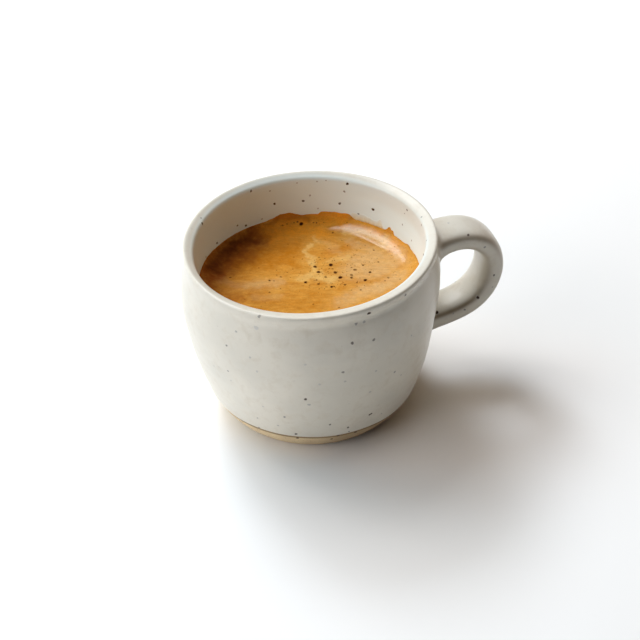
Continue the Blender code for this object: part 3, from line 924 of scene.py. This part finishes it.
def soften_seam(mesh, strap_slot):
    """Smooths the clay round the line where the strap's faces meet the body's.

    Each pass moves a vertex towards the mean of its neighbours, by half where it lies on
    the seam and by less the further it is from it.
    """
    slots = numbers(mesh.polygons, "material_index")
    corners = numbers(mesh.loops, "vertex_index")
    of_strap = np.repeat(slots == strap_slot, numbers(mesh.polygons, "loop_total"))
    seen = np.zeros((2, len(mesh.vertices)), bool)
    seen[0, corners[of_strap]] = True
    seen[1, corners[~of_strap]] = True
    points = mesh_points(mesh)
    seam = points[seen.all(axis=0)]
    tree = KDTree(len(seam))
    for i, point in enumerate(seam):
        tree.insert(point, i)
    tree.balance()
    # Only what lies in a box round the seam is near enough to move
    box = (seam.min(axis=0) - 3.0 * SEAM_REACH, seam.max(axis=0) + 3.0 * SEAM_REACH)
    near = np.flatnonzero(((points > box[0]) & (points < box[1])).all(axis=1))
    pull = np.zeros(len(points))
    pull[near] = bell(np.array([tree.find(points[i])[2] for i in near]), SEAM_REACH)
    pull[pull < 0.02] = 0.0
    edges = numbers(mesh.edges, "vertices", 2)
    first, second = edges.reshape(-1, 2).T
    degree = np.bincount(edges, minlength=len(points)).astype(float)
    for _ in range(SEAM_PASSES):
        mean = np.stack([
            np.bincount(first, points[second, axis], len(points))
            + np.bincount(second, points[first, axis], len(points))
            for axis in range(3)
        ], axis=-1) / degree[:, None]
        points = points + 0.5 * pull[:, None] * (mean - points)
    mesh.vertices.foreach_set("co", (points * MM).ravel())
    slots[slots == strap_slot] = 0
    mesh.polygons.foreach_set("material_index", slots)
    mesh.update()


def stoneware_cup(glaze, clay):
    """The whole cup as one skin: body and strap fused, with the seam smoothed over."""
    rings, line_ring = cup_rings()
    body = skin("stoneware_cup", rings, ((0.0, 0.0, FOOT_RECESS), (0.0, 0.0, INNER_WALL[-1, 1])))
    # Clay under the line and on the fan that closes the foot, glaze on the one over the floor
    of_face = np.append(np.arange(len(rings) - 1), [0, line_ring]).repeat(CUP_COLUMNS)
    body.polygons.foreach_set("material_index", (of_face < line_ring).astype(int))
    cup = place("stoneware_cup", body, glaze, clay, glaze)
    strap = skin("strap", strap_rings())
    strap.polygons.foreach_set("material_index", np.full(len(strap.polygons), 2))
    strap = place("strap", strap, glaze, clay, glaze)
    union = cup.modifiers.new("union", "BOOLEAN")
    union.operation = "UNION"
    union.solver = "EXACT"
    union.object = strap
    bpy.context.view_layer.update()
    fused = bpy.data.meshes.new_from_object(cup.evaluated_get(bpy.context.evaluated_depsgraph_get()))
    cup.modifiers.clear()
    cup.data = fused
    bpy.data.objects.remove(strap)
    soften_seam(fused, 2)
    fused.materials.pop(index=2)
    fused.shade_smooth()
    points = mesh_points(fused)
    x, y, height = points.T
    azimuth = np.arctan2(y, x)
    # A toast line under the glaze's edge, and painted shade over the side away from the lamps
    edge = TOAST_DEPTH * bell(height - glaze_edge(azimuth) + TOAST_BELOW, TOAST_REACH)
    facing = np.cos(azimuth - math.radians(SHADED_SIDE_TOWARDS))
    painted_side_shade = SHADED_SIDE_DEPTH * ease((facing - SHADED_SIDE_FROM) / (SHADED_SIDE_TO - SHADED_SIDE_FROM))
    paint(fused, "toast_and_shade", np.maximum(edge, painted_side_shade))
    # Thin glaze on the strap's edges, with painted shade in the fold under them
    paint(fused, "break_and_shade", thin_glaze_and_shade(points))
    # Behind the outer wall, but not on the underside
    depth = outer_radius(height) - np.hypot(x, y)
    paint(fused, "lining", ease((depth - LINING_FROM) / LINING_REACH) * ease((height - 3.0) / 2.0))
    return cup


# The drink

def wall_radius(height, azimuth):
    """Radius of the cup's uneven inner wall where the drink meets it."""
    inner = natural_spline(np.vstack([LIP[-1:], INNER_WALL]), CURVE_POINTS)[::-1]
    radius = np.interp(height, inner[:, 1], inner[:, 0])
    return uneven(radius + inner_marks(radius, height, azimuth), height, azimuth)[0]


def licks(azimuth):
    """Height in mm of the crema left on the wall: the tallest lick, each of them its height
    / (1 + |turn / width|^squareness), and a ragged noise.
    """
    tallest = np.zeros_like(azimuth)
    for towards, width, height, squareness in LICKS:
        turn = np.abs(degrees_from(azimuth, towards))
        tallest = np.maximum(tallest, height / (1.0 + (turn / width) ** squareness))
    return np.maximum(tallest + drifts(np.degrees(azimuth), 0.0 * azimuth, RAGGED), 0.04)


def bank_height(distance):
    """Height of the crema's bank over its level, at a distance in mm from the wall.

    Its slope falls as exp(-d / fade) / (1 + exp((d - width) / softness)), so that it mirrors
    one window over its whole width and ends in a distinct foot.
    """
    d = np.linspace(0.0, 30.0, 3001)
    slope = np.exp(-d / BANK_FADE) / (1.0 + np.exp((d - BANK_WIDTH) / BANK_SOFTNESS))
    fallen = np.cumsum(slope) / slope.sum()
    return (CREMA_EDGE - WALL_CLIMB - CREMA_LEVEL) * (1.0 - np.interp(distance, d, fallen))


def crema_rings():
    """Rings of the foam: its underside, the film up the wall and the surface inwards.

    With d the distance from the wall, the surface stands climb * exp(-d / climb reach) and
    the bank over the level, with a low noise of 4 mm and 1.5 mm waves.
    """
    azimuth = around(CREMA_COLUMNS)[None, :]
    # (share of the film's height, distance from the wall)
    film = np.array([
        (1.0, -WALL_OVERLAP), (0.98, 0.015), (0.9, 0.05), (0.76, 0.06), (0.6, 0.07),
        (0.45, 0.08), (0.3, 0.09), (0.15, 0.10), (0.0, 0.11),
    ])
    film_height = CREMA_EDGE + licks(azimuth) * film[:, :1]
    from_film = CREMA_STEPS - film[-1, 1]
    inner = CREMA_LEVEL + WALL_CLIMB * np.exp(-from_film / CLIMB_REACH) + bank_height(from_film)
    height = np.vstack([film_height, inner[:, None] + 0.0 * azimuth])
    depth = np.concatenate([film[:, 1], CREMA_STEPS])[:, None]
    # The wall's outline drawn in step by step, and kept just clear of the middle
    radius = wall_radius(height, azimuth)
    radius = np.maximum(radius - depth * radius / radius.mean(), 0.25)
    swell = drifts(radius * np.cos(azimuth), radius * np.sin(azimuth), SWELL)
    top = about_axis(radius, azimuth, height + swell * ease((depth - 0.3) / 3.0))
    under = wall_radius(CREMA_UNDERSIDE, azimuth) + WALL_OVERLAP
    return np.concatenate([about_axis(under, azimuth, CREMA_UNDERSIDE), top])


def deepest(x, y, strokes, surface):
    """The deepest of several strokes at each point, their routes as seen on a surface."""
    depth = np.zeros(len(x))
    for strength, width, route in strokes:
        spots = [sight(surface, column, row)[0] for column, row in route]
        route = [(spot.x, spot.y) for spot in spots if spot]
        depth = np.maximum(depth, strength * stroke(x, y, route, width))
    return depth


def paint_marbling_and_light(mesh, surface):
    """Paints the crema's colour layers: strokes on a ground that noise pushes about. The wet
    skin is painted the same way, from strokes that aren't pushed.
    """
    x, y, _ = mesh_points(mesh).T
    pushed = (x + drifts(x, y, PUSH_X), y + drifts(x, y, PUSH_Y))
    mottle = 0.85 + drifts(x, y, MOTTLE)
    # The rust and brown layers are painted shadow of the wall, and one pale stroke is a painted highlight
    for layer in CREMA_TINTS:
        paint(mesh, layer, np.clip(deepest(*pushed, MARBLING_AND_PAINTED_LIGHT[layer], surface) * mottle, 0.0, 1.0))
    paint(mesh, "wet", deepest(x, y, WET_SKIN, surface))


def crema(material):
    """The foam as a closed slab whose rim reaches just into the wall."""
    rings = crema_rings()
    mesh = skin("crema_foam", rings, ((0.0, 0.0, CREMA_UNDERSIDE), (0.0, 0.0, rings[-1, :, 2].mean())))
    paint_marbling_and_light(mesh, ray_surface(mesh))
    return place("crema_foam", mesh, material)


def crema_wash(material):
    """The wash above the crema's edge: a skin on the wall whose back lies inside the clay."""
    share = np.linspace(0.0, 1.0, WASH_STATIONS)[:, None]
    turns = WASH_FROM + (WASH_TO - WASH_FROM) * share
    azimuth = np.radians(turns)
    # It rises slowly at its right end and falls steeply at its left one
    top = WASH_HEIGHT * ease(share * 5.0) * ease((1.0 - share) * 14.0)
    top = top + sum(height * bell(turns - towards, width) for towards, width, height in WASH_CRESTS)
    top = np.maximum(top + 0.12 * drift(turns, 0.0 * turns, 0.9, 7), 0.05)
    # (share of the height, distance from the wall) round the section: up the front, down the back
    section = np.array([
        (0.0, 0.02), (0.2, 0.03), (0.4, 0.03), (0.6, 0.028), (0.8, 0.022), (0.93, 0.012),
        (1.0, -0.03), (0.7, -0.1), (0.3, -0.1), (0.0, -0.1),
    ])
    height = CREMA_EDGE + top * section[:, 0]
    radius = wall_radius(height, azimuth) - section[:, 1]
    mesh = skin("crema_wash", about_axis(radius, azimuth, height))
    thin = 0.9 * ease(section[:, 0] / 0.95)[None, :] + 0.0 * azimuth
    paint(mesh, "thin", np.append(thin, [0.5, 0.5]))
    return place("crema_wash", mesh, material)


def popped_bubbles(surface, material):
    """The craters of popped bubbles: those that the photograph shows, and pinholes about them."""
    draw = np.random.default_rng(50)
    # A little larger and darker than listed, because such small dots wash out
    spots = [
        (sight(surface, column, row), 1.05 * size, depth ** 0.6)
        for column, row, size, depth in POPPED_BUBBLES
    ]
    for x, y in draw.normal(level_point(*PINHOLES_ABOUT), PINHOLE_SPREAD, (PINHOLE_COUNT, 2)):
        hit = beneath(surface, x, y)
        if hit[0] is not None and hit[1].z > PINHOLE_UPRIGHT:
            spots.append((hit, draw.uniform(0.35, 0.7), draw.uniform(0.35, 0.8)))
    # From outside the raised rim over it and down to the middle
    profile = ((1.45, -0.05), (1.25, 0.01), (1.05, 0.035), (0.88, 0.02), (0.6, 0.008), (0.3, 0.004))
    shares = (0.0, 0.0, 0.25, 0.8, 1.0, 1.0)
    mesh = dots("popped_bubbles", spots, profile, "depth", shares, uneven_share=0.10, seed=51)
    paint_marbling_and_light(mesh, surface)
    return place("popped_bubbles", mesh, material)


def fine_bubbles(surface, material):
    """Whole bubbles of 0.1 to 0.3 mm across: a froth that thins out from the wall."""
    draw = np.random.default_rng(61)
    towards = draw.uniform(0.0, math.tau, FROTH_COUNT)
    from_wall = 0.5 + draw.exponential(0.8, FROTH_COUNT)
    reach = wall_radius(CREMA_EDGE - 1.0, towards) - from_wall
    hits = [beneath(surface, r * math.cos(a), r * math.sin(a)) for a, r in zip(towards, reach)]
    hits = [hit for hit in hits if hit[0] is not None and hit[1].z > FROTH_UPRIGHT]
    radii = np.minimum(0.05 + draw.exponential(0.035, len(hits)), 0.17)
    profile = ((1.0, -0.03), (1.0, 0.01), (0.85, 0.045), (0.5, 0.07))
    mesh = scatter("fine_bubbles", hits, radii, profile, sides=8, uneven_share=0.03, seed=62)[0]
    paint_marbling_and_light(mesh, surface)
    return place("fine_bubbles", mesh, material)


def iron_specks(surface, material):
    """Specks where the photograph shows them, and at random on the sides that it hides."""
    draw = np.random.default_rng(71)
    specks = [(sight(surface, column, row), size, dark) for column, row, size, dark in IRON_SPECKS]
    rays = []
    for count, arc, heights, start in HIDDEN_WALLS:
        for _ in range(count):
            turn, height = math.radians(draw.uniform(*arc)), draw.uniform(*heights)
            spoke = Vector((math.cos(turn), math.sin(turn), 0.0))
            rays.append((Vector((0.0, 0.0, height)) + start * spoke, -spoke if start else spoke))
    for _ in range(HANDLE_SPECKS):
        beside = Vector((draw.uniform(36.0, 52.0), 40.0, draw.uniform(16.0, 44.0)))
        rays.append((beside, Vector((0.0, -1.0, 0.0))))
    for ray in rays:
        hit = surface.ray_cast(*ray)[:2]
        if hit[0] is not None:
            dark = draw.uniform(0.15, 1.0) ** 1.5
            specks.append((hit, draw.uniform(0.8, 1.2) + 0.6 * dark, dark))
    profile = ((1.3, -0.06), (1.08, 0.004), (0.9, 0.012), (0.5, 0.018))
    shares = (0.2, 0.45, 0.85, 1.0)
    mesh = dots("iron_specks", specks, profile, "iron", shares, uneven_share=0.13, seed=72)
    x, y, height = mesh_points(mesh).T
    paint(mesh, "on_clay", height < glaze_edge(np.arctan2(y, x)))
    return place("iron_specks", mesh, material)


# Camera, floor and light

def camera_turn():
    """Rotation of the camera: azimuth, elevation and roll, then looking down its own -Z."""
    azimuth, tilt = math.radians(VIEW_AZIMUTH), math.radians(90.0 - VIEW_ELEVATION)
    look = Matrix.Rotation(azimuth, 3, "Z") @ Matrix.Rotation(tilt, 3, "X")
    return look @ Matrix.Rotation(-math.radians(VIEW_ROLL), 3, "Z")


def camera_place():
    """The camera's position in mm."""
    return TARGET + VIEW_DISTANCE * (camera_turn() @ Vector((0.0, 0.0, 1.0)))


def line_of_sight(column, row):
    """Direction in which the camera sees a pixel of the photograph."""
    across, down = (column - TARGET_COLUMN) / FOCAL_PIXELS, (row - TARGET_ROW) / FOCAL_PIXELS
    return (camera_turn() @ Vector((across, -down, -1.0))).normalized()


def level_point(column, row):
    """Where a pixel's line of sight meets the level of the crema."""
    ray, eye = line_of_sight(column, row), camera_place()
    spot = eye + (CREMA_LEVEL - eye.z) / ray.z * ray
    return spot.x, spot.y


def sight(surface, column, row):
    """Where a pixel's line of sight meets a surface, and the surface's normal there."""
    return surface.ray_cast(camera_place(), line_of_sight(column, row))[:2]


def beneath(surface, x, y):
    """Where a plumb line meets a surface, and the surface's normal there."""
    return surface.ray_cast(Vector((x, y, CUP_HEIGHT)), Vector((0.0, 0.0, -1.0)))[:2]


def ray_surface(mesh):
    """A mesh in mm that rays can be cast onto."""
    faces = [list(face.vertices) for face in mesh.polygons]
    return BVHTree.FromPolygons(mesh_points(mesh).tolist(), faces)


def add_camera():
    """The photograph's camera, its lens shifted by what the axis is off the frame's middle."""
    data = bpy.data.cameras.new("camera")
    data.sensor_width = SENSOR_WIDTH
    data.lens = FOCAL_PIXELS / FRAME_PIXELS * SENSOR_WIDTH
    data.shift_x = 0.5 - TARGET_COLUMN / FRAME_PIXELS
    data.shift_y = TARGET_ROW / FRAME_PIXELS - 0.5
    data.clip_start = 0.01
    camera = bpy.data.objects.new("camera", data)
    camera.matrix_world = Matrix.LocRotScale(camera_place() * MM, camera_turn().to_quaternion(), None)
    bpy.context.scene.collection.objects.link(camera)
    bpy.context.scene.camera = camera


def soft_light(name, azimuth, elevation, distance, width, height, power, tint, mirrored):
    """A rectangular lamp that faces the cup, with its azimuth from +X in degrees. One that
    isn't mirrored lights only what is matt.
    """
    data = bpy.data.lights.new(name, "AREA")
    data.shape = "RECTANGLE"
    data.size, data.size_y = width, height
    data.energy = power
    data.color = hex_colour(tint)[:3]
    lamp = bpy.data.objects.new(name, data)
    turn, rise = math.radians(azimuth), math.radians(elevation)
    towards = Vector((math.cos(turn) * math.cos(rise), math.sin(turn) * math.cos(rise), math.sin(rise)))
    lamp.location = TARGET * MM + distance * towards
    lamp.visible_glossy = mirrored
    lamp.rotation_euler = towards.to_track_quat("Z", "Y").to_euler()
    bpy.context.scene.collection.objects.link(lamp)


def studio():
    """A pale floor, soft lamps and a pale sky."""
    corners = [(x * FLOOR_REACH, y * FLOOR_REACH, 0.0) for x, y in ((-1, -1), (1, -1), (1, 1), (-1, 1))]
    mesh = bpy.data.meshes.new("floor")
    mesh.from_pydata(corners, [], [(0, 1, 2, 3)])
    floor = place("floor", mesh, made_of(pale_floor))
    for lamp in LAMPS:
        soft_light(*lamp)
    world = bpy.data.worlds.new("world")
    world.use_nodes = True
    sky = world.node_tree.nodes["Background"]
    sky.inputs["Color"].default_value = (1.0, 1.0, 1.0, 1.0)
    sky.inputs["Strength"].default_value = SKY_STRENGTH
    bpy.context.scene.world = world
    bpy.context.scene.view_settings.view_transform = "Standard"


add_camera()
studio()
cup = stoneware_cup(made_of(satin_glaze), made_of(bare_clay))
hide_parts("cup")
foam = crema(made_of(crema_foam))
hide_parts("crema")
clay_surface = ray_surface(cup.data)
foam_surface = ray_surface(foam.data)
pieces = (
    (cup, "stoneware"),
    (iron_specks(clay_surface, made_of(iron_spot)), "stoneware"),
    (foam, "crema"),
    (crema_wash(made_of(dried_wash)), "crema"),
    (popped_bubbles(foam_surface, made_of(popped_foam)), "crema"),
    (fine_bubbles(foam_surface, made_of(clear_bubble)), "crema"),
)
for piece, slot in pieces:
    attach(piece, "root")
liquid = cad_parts["espresso"]
liquid.data.materials.clear()
liquid.data.materials.append(made_of(espresso_liquid))
